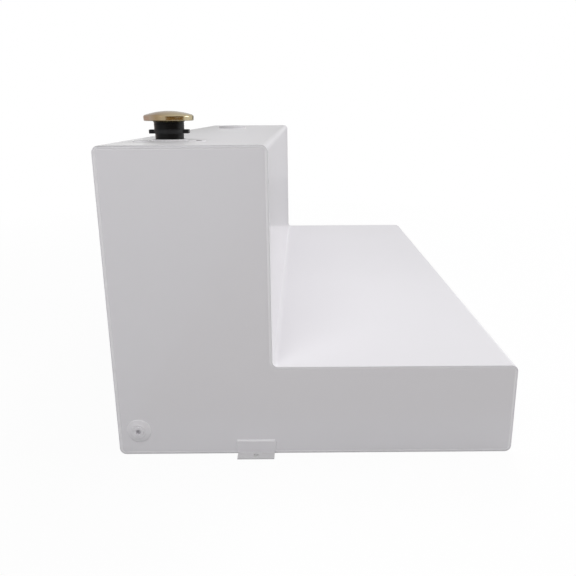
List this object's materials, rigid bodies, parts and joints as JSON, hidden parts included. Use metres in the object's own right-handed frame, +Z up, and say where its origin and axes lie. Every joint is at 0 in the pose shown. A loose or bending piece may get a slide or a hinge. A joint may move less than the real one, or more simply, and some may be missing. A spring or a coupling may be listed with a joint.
{
  "type": "truck bed transfer tank",
  "caption": "L-shaped steel fuel transfer tank for a truck bed, with a vented screw cap on a cast filler neck, threaded ports, a drain boss and bolt-down feet.",
  "frame": {"origin": "middle of the footprint, feet included, on the floor of the truck bed", "axes": "+Z up, +Y along the tank from the filler end to the far end, +X from the tall back to the low step"},
  "size_m": [0.775, 1.57, 0.6539],
  "materials": {
    "white_paint": "glossy white powder coat",
    "black_cast_iron": "satin black paint",
    "gold_plate": "yellow zinc plate on pressed steel",
    "bare_steel": "zinc plated",
    "brass": "turned",
    "rubber": "nitrile rubber"
  },
  "bodies": {
    "tank": {"body_wrapper": "white_paint", "near_end_plate": "white_paint", "far_end_plate": "white_paint", "near_baffle": "white_paint", "far_baffle": "white_paint", "filler_bung": "white_paint", "left_port_bung": "white_paint", "right_port_bung": "white_paint", "pump_bung": "white_paint", "drain_bung": "white_paint", "left_port_plug": "white_paint", "drain_plug": "white_paint", "filler_neck": "black_cast_iron", "near_foot": "white_paint", "far_foot": "white_paint"},
    "cap_seal": {"cap_gasket": "rubber"},
    "cap": {"cap_dome": "gold_plate", "cap_inner_cup": "gold_plate", "cap_standoff_studs": "bare_steel", "vent_housing": "bare_steel", "vent_spring": "bare_steel"},
    "vent_valve": {"vent_poppet": "brass", "vent_poppet_seal": "rubber"}
  },
  "joints": [
    {"name": "cap_rise", "type": "slide", "parent": "tank", "child": "cap_seal", "axis": [0, 0, 1], "range_m": [0, 0.0135]},
    {"name": "cap_turn", "type": "hinge", "parent": "cap_seal", "child": "cap", "pos_m": [-0.2875, -0.58, 0.645], "axis": [0, 0, 1], "range_deg": [0, 1080]},
    {"name": "vent_lift", "type": "slide", "parent": "cap", "child": "vent_valve", "axis": [0, 0, 1], "range_m": [0, 0.0035], "stiffness_N_per_m": 200, "springref_m": -0.002, "deforming": ["vent_spring"]}
  ],
  "couplings": [
    {"joint": "cap_rise", "follows": "cap_turn", "m_per_rad": 0.0007162}
  ]
}
